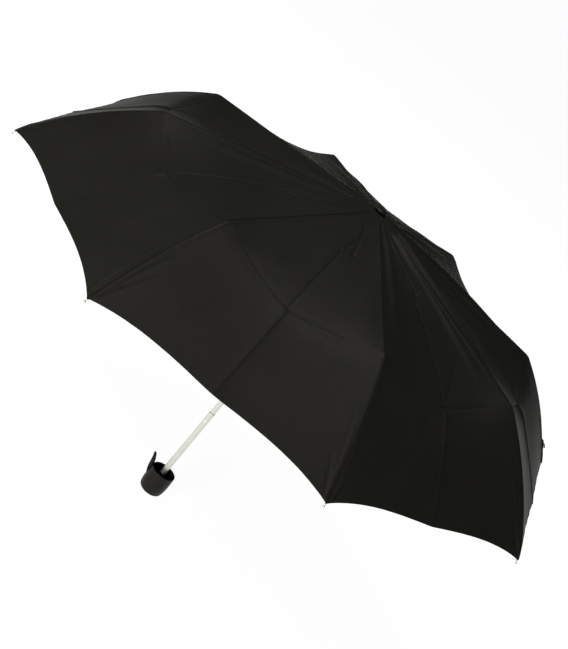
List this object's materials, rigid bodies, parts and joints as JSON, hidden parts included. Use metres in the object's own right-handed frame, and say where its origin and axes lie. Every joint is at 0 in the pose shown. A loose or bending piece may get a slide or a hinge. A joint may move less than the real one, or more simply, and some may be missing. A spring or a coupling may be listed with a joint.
{
  "type": "folding umbrella",
  "caption": "Compact folding umbrella, open: pleated fabric canopy on hinged steel ribs, telescopic chromed shaft, sliding runner and a small black cup handle with a finger hook.",
  "frame": {"origin": "centre of the handle's flat bottom face, on the shaft's axis", "axes": "+Z along the shaft, from the handle to the crown; +X along rib 8, +Y along rib 2"},
  "size_m": [0.9524, 0.9524, 0.576],
  "materials": {
    "canopy": "water-repellent black pongee with a faint warm sheen",
    "handle": "satin black moulded plastic",
    "black_plastic": "satin black moulded plastic",
    "shaft": "bright chromed steel",
    "steel": "zinc-plated steel",
    "rib_tips": "nickel-plated metal, slightly warm"
  },
  "bodies": {
    "handle": {"handle_cup": "handle", "thumb_hook": "handle", "lower_tube": "shaft"},
    "mid_tube": {"mid_tube": "shaft"},
    "upper_tube": {"upper_tube": "shaft", "crown": "black_plastic", "crown_wire": "steel", "crown_washer": "black_plastic", "crown_cap": "black_plastic", "canopy": "canopy"},
    "runner": {"runner": "black_plastic", "runner_wire": "steel", "release_spring": "steel"},
    "release_button": {"release_button": "black_plastic"},
    "top_rib_1": {"top_rib_1": "steel"},
    "mid_rib_1": {"mid_rib_1": "steel"},
    "outer_rib_1": {"outer_rib_1": "steel", "rib_tip_1": "rib_tips"},
    "stretcher_1": {"stretcher_1": "steel"},
    "top_rib_2": {"top_rib_2": "steel"},
    "mid_rib_2": {"mid_rib_2": "steel"},
    "outer_rib_2": {"outer_rib_2": "steel", "rib_tip_2": "rib_tips"},
    "stretcher_2": {"stretcher_2": "steel"},
    "top_rib_3": {"top_rib_3": "steel"},
    "mid_rib_3": {"mid_rib_3": "steel"},
    "outer_rib_3": {"outer_rib_3": "steel", "rib_tip_3": "rib_tips"},
    "stretcher_3": {"stretcher_3": "steel"},
    "top_rib_4": {"top_rib_4": "steel"},
    "mid_rib_4": {"mid_rib_4": "steel"},
    "outer_rib_4": {"outer_rib_4": "steel", "rib_tip_4": "rib_tips"},
    "stretcher_4": {"stretcher_4": "steel"},
    "top_rib_5": {"top_rib_5": "steel"},
    "mid_rib_5": {"mid_rib_5": "steel"},
    "outer_rib_5": {"outer_rib_5": "steel", "rib_tip_5": "rib_tips"},
    "stretcher_5": {"stretcher_5": "steel"},
    "top_rib_6": {"top_rib_6": "steel"},
    "mid_rib_6": {"mid_rib_6": "steel"},
    "outer_rib_6": {"outer_rib_6": "steel", "rib_tip_6": "rib_tips"},
    "stretcher_6": {"stretcher_6": "steel"},
    "top_rib_7": {"top_rib_7": "steel"},
    "mid_rib_7": {"mid_rib_7": "steel"},
    "outer_rib_7": {"outer_rib_7": "steel", "rib_tip_7": "rib_tips", "tie_strap": "canopy", "strap_snap": "steel"},
    "stretcher_7": {"stretcher_7": "steel"},
    "top_rib_8": {"top_rib_8": "steel"},
    "mid_rib_8": {"mid_rib_8": "steel"},
    "outer_rib_8": {"outer_rib_8": "steel", "rib_tip_8": "rib_tips"},
    "stretcher_8": {"stretcher_8": "steel"}
  },
  "joints": [
    {"name": "lower_slide", "type": "slide", "parent": "handle", "child": "mid_tube", "axis": [0, 0, -1], "range_m": [0, 0.138]},
    {"name": "upper_slide", "type": "slide", "parent": "mid_tube", "child": "upper_tube", "axis": [0, 0, -1], "range_m": [0, 0.185]},
    {"name": "runner_slide", "type": "slide", "parent": "upper_tube", "child": "runner", "axis": [0, 0, -1], "range_m": [0, 0.11366], "deforming": ["canopy"]},
    {"name": "release_press", "type": "slide", "parent": "runner", "child": "release_button", "axis": [-0.9239, -0.3827, 0], "range_m": [0, 0.0012], "stiffness_N_per_m": 600, "deforming": ["release_spring"]},
    {"name": "crown_hinge_1", "type": "hinge", "parent": "upper_tube", "child": "top_rib_1", "pos_m": [0.00672, 0.00672, 0.561], "axis": [-0.7071, 0.7071, 0], "range_deg": [0, 80.41]},
    {"name": "fold_hinge_1", "type": "hinge", "parent": "top_rib_1", "child": "mid_rib_1", "pos_m": [0.11871, 0.11871, 0.5382], "axis": [-0.7071, 0.7071, 0], "range_deg": [-179.82, 0]},
    {"name": "knee_hinge_1", "type": "hinge", "parent": "mid_rib_1", "child": "outer_rib_1", "pos_m": [0.23027, 0.23027, 0.50962], "axis": [-0.7071, 0.7071, 0], "range_deg": [0, 147.31]},
    {"name": "runner_hinge_1", "type": "hinge", "parent": "runner", "child": "stretcher_1", "pos_m": [0.00566, 0.00566, 0.5102], "axis": [-0.7071, 0.7071, 0], "range_deg": [-64.57, 0]},
    {"name": "crown_hinge_2", "type": "hinge", "parent": "upper_tube", "child": "top_rib_2", "pos_m": [0, 0.0095, 0.561], "axis": [-1, 0, 0], "range_deg": [0, 80.41]},
    {"name": "fold_hinge_2", "type": "hinge", "parent": "top_rib_2", "child": "mid_rib_2", "pos_m": [0, 0.16788, 0.5382], "axis": [-1, 0, 0], "range_deg": [-179.82, 0]},
    {"name": "knee_hinge_2", "type": "hinge", "parent": "mid_rib_2", "child": "outer_rib_2", "pos_m": [0, 0.32566, 0.50962], "axis": [-1, 0, 0], "range_deg": [0, 147.31]},
    {"name": "runner_hinge_2", "type": "hinge", "parent": "runner", "child": "stretcher_2", "pos_m": [0, 0.008, 0.5102], "axis": [-1, 0, 0], "range_deg": [-64.57, 0]},
    {"name": "crown_hinge_3", "type": "hinge", "parent": "upper_tube", "child": "top_rib_3", "pos_m": [-0.00672, 0.00672, 0.561], "axis": [-0.7071, -0.7071, 0], "range_deg": [0, 80.41]},
    {"name": "fold_hinge_3", "type": "hinge", "parent": "top_rib_3", "child": "mid_rib_3", "pos_m": [-0.11871, 0.11871, 0.5382], "axis": [-0.7071, -0.7071, 0], "range_deg": [-179.82, 0]},
    {"name": "knee_hinge_3", "type": "hinge", "parent": "mid_rib_3", "child": "outer_rib_3", "pos_m": [-0.23027, 0.23027, 0.50962], "axis": [-0.7071, -0.7071, 0], "range_deg": [0, 147.31]},
    {"name": "runner_hinge_3", "type": "hinge", "parent": "runner", "child": "stretcher_3", "pos_m": [-0.00566, 0.00566, 0.5102], "axis": [-0.7071, -0.7071, 0], "range_deg": [-64.57, 0]},
    {"name": "crown_hinge_4", "type": "hinge", "parent": "upper_tube", "child": "top_rib_4", "pos_m": [-0.0095, 0, 0.561], "axis": [0, -1, 0], "range_deg": [0, 80.41]},
    {"name": "fold_hinge_4", "type": "hinge", "parent": "top_rib_4", "child": "mid_rib_4", "pos_m": [-0.16788, 0, 0.5382], "axis": [0, -1, 0], "range_deg": [-179.82, 0]},
    {"name": "knee_hinge_4", "type": "hinge", "parent": "mid_rib_4", "child": "outer_rib_4", "pos_m": [-0.32566, 0, 0.50962], "axis": [0, -1, 0], "range_deg": [0, 147.31]},
    {"name": "runner_hinge_4", "type": "hinge", "parent": "runner", "child": "stretcher_4", "pos_m": [-0.008, 0, 0.5102], "axis": [0, -1, 0], "range_deg": [-64.57, 0]},
    {"name": "crown_hinge_5", "type": "hinge", "parent": "upper_tube", "child": "top_rib_5", "pos_m": [-0.00672, -0.00672, 0.561], "axis": [0.7071, -0.7071, 0], "range_deg": [0, 80.41]},
    {"name": "fold_hinge_5", "type": "hinge", "parent": "top_rib_5", "child": "mid_rib_5", "pos_m": [-0.11871, -0.11871, 0.5382], "axis": [0.7071, -0.7071, 0], "range_deg": [-179.82, 0]},
    {"name": "knee_hinge_5", "type": "hinge", "parent": "mid_rib_5", "child": "outer_rib_5", "pos_m": [-0.23027, -0.23027, 0.50962], "axis": [0.7071, -0.7071, 0], "range_deg": [0, 147.31]},
    {"name": "runner_hinge_5", "type": "hinge", "parent": "runner", "child": "stretcher_5", "pos_m": [-0.00566, -0.00566, 0.5102], "axis": [0.7071, -0.7071, 0], "range_deg": [-64.57, 0]},
    {"name": "crown_hinge_6", "type": "hinge", "parent": "upper_tube", "child": "top_rib_6", "pos_m": [0, -0.0095, 0.561], "axis": [1, 0, 0], "range_deg": [0, 80.41]},
    {"name": "fold_hinge_6", "type": "hinge", "parent": "top_rib_6", "child": "mid_rib_6", "pos_m": [0, -0.16788, 0.5382], "axis": [1, 0, 0], "range_deg": [-179.82, 0]},
    {"name": "knee_hinge_6", "type": "hinge", "parent": "mid_rib_6", "child": "outer_rib_6", "pos_m": [0, -0.32566, 0.50962], "axis": [1, 0, 0], "range_deg": [0, 147.31]},
    {"name": "runner_hinge_6", "type": "hinge", "parent": "runner", "child": "stretcher_6", "pos_m": [0, -0.008, 0.5102], "axis": [1, 0, 0], "range_deg": [-64.57, 0]},
    {"name": "crown_hinge_7", "type": "hinge", "parent": "upper_tube", "child": "top_rib_7", "pos_m": [0.00672, -0.00672, 0.561], "axis": [0.7071, 0.7071, 0], "range_deg": [0, 80.41]},
    {"name": "fold_hinge_7", "type": "hinge", "parent": "top_rib_7", "child": "mid_rib_7", "pos_m": [0.11871, -0.11871, 0.5382], "axis": [0.7071, 0.7071, 0], "range_deg": [-179.82, 0]},
    {"name": "knee_hinge_7", "type": "hinge", "parent": "mid_rib_7", "child": "outer_rib_7", "pos_m": [0.23027, -0.23027, 0.50962], "axis": [0.7071, 0.7071, 0], "range_deg": [0, 147.31]},
    {"name": "runner_hinge_7", "type": "hinge", "parent": "runner", "child": "stretcher_7", "pos_m": [0.00566, -0.00566, 0.5102], "axis": [0.7071, 0.7071, 0], "range_deg": [-64.57, 0]},
    {"name": "crown_hinge_8", "type": "hinge", "parent": "upper_tube", "child": "top_rib_8", "pos_m": [0.0095, 0, 0.561], "axis": [0, 1, 0], "range_deg": [0, 80.41]},
    {"name": "fold_hinge_8", "type": "hinge", "parent": "top_rib_8", "child": "mid_rib_8", "pos_m": [0.16788, 0, 0.5382], "axis": [0, 1, 0], "range_deg": [-179.82, 0]},
    {"name": "knee_hinge_8", "type": "hinge", "parent": "mid_rib_8", "child": "outer_rib_8", "pos_m": [0.32566, 0, 0.50962], "axis": [0, 1, 0], "range_deg": [0, 147.31]},
    {"name": "runner_hinge_8", "type": "hinge", "parent": "runner", "child": "stretcher_8", "pos_m": [0.008, 0, 0.5102], "axis": [0, 1, 0], "range_deg": [-64.57, 0]}
  ],
  "couplings": [
    {"joint": "crown_hinge_1", "follows": "runner_slide", "rad_per_m": 12.344},
    {"joint": "fold_hinge_1", "follows": "runner_slide", "rad_per_m": -27.609},
    {"joint": "knee_hinge_1", "follows": "runner_slide", "rad_per_m": 22.616},
    {"joint": "runner_hinge_1", "follows": "runner_slide", "rad_per_m": -9.9111},
    {"joint": "crown_hinge_2", "follows": "runner_slide", "rad_per_m": 12.344},
    {"joint": "fold_hinge_2", "follows": "runner_slide", "rad_per_m": -27.609},
    {"joint": "knee_hinge_2", "follows": "runner_slide", "rad_per_m": 22.616},
    {"joint": "runner_hinge_2", "follows": "runner_slide", "rad_per_m": -9.9111},
    {"joint": "crown_hinge_3", "follows": "runner_slide", "rad_per_m": 12.344},
    {"joint": "fold_hinge_3", "follows": "runner_slide", "rad_per_m": -27.609},
    {"joint": "knee_hinge_3", "follows": "runner_slide", "rad_per_m": 22.616},
    {"joint": "runner_hinge_3", "follows": "runner_slide", "rad_per_m": -9.9111},
    {"joint": "crown_hinge_4", "follows": "runner_slide", "rad_per_m": 12.344},
    {"joint": "fold_hinge_4", "follows": "runner_slide", "rad_per_m": -27.609},
    {"joint": "knee_hinge_4", "follows": "runner_slide", "rad_per_m": 22.616},
    {"joint": "runner_hinge_4", "follows": "runner_slide", "rad_per_m": -9.9111},
    {"joint": "crown_hinge_5", "follows": "runner_slide", "rad_per_m": 12.344},
    {"joint": "fold_hinge_5", "follows": "runner_slide", "rad_per_m": -27.609},
    {"joint": "knee_hinge_5", "follows": "runner_slide", "rad_per_m": 22.616},
    {"joint": "runner_hinge_5", "follows": "runner_slide", "rad_per_m": -9.9111},
    {"joint": "crown_hinge_6", "follows": "runner_slide", "rad_per_m": 12.344},
    {"joint": "fold_hinge_6", "follows": "runner_slide", "rad_per_m": -27.609},
    {"joint": "knee_hinge_6", "follows": "runner_slide", "rad_per_m": 22.616},
    {"joint": "runner_hinge_6", "follows": "runner_slide", "rad_per_m": -9.9111},
    {"joint": "crown_hinge_7", "follows": "runner_slide", "rad_per_m": 12.344},
    {"joint": "fold_hinge_7", "follows": "runner_slide", "rad_per_m": -27.609},
    {"joint": "knee_hinge_7", "follows": "runner_slide", "rad_per_m": 22.616},
    {"joint": "runner_hinge_7", "follows": "runner_slide", "rad_per_m": -9.9111},
    {"joint": "crown_hinge_8", "follows": "runner_slide", "rad_per_m": 12.344},
    {"joint": "fold_hinge_8", "follows": "runner_slide", "rad_per_m": -27.609},
    {"joint": "knee_hinge_8", "follows": "runner_slide", "rad_per_m": 22.616},
    {"joint": "runner_hinge_8", "follows": "runner_slide", "rad_per_m": -9.9111}
  ]
}
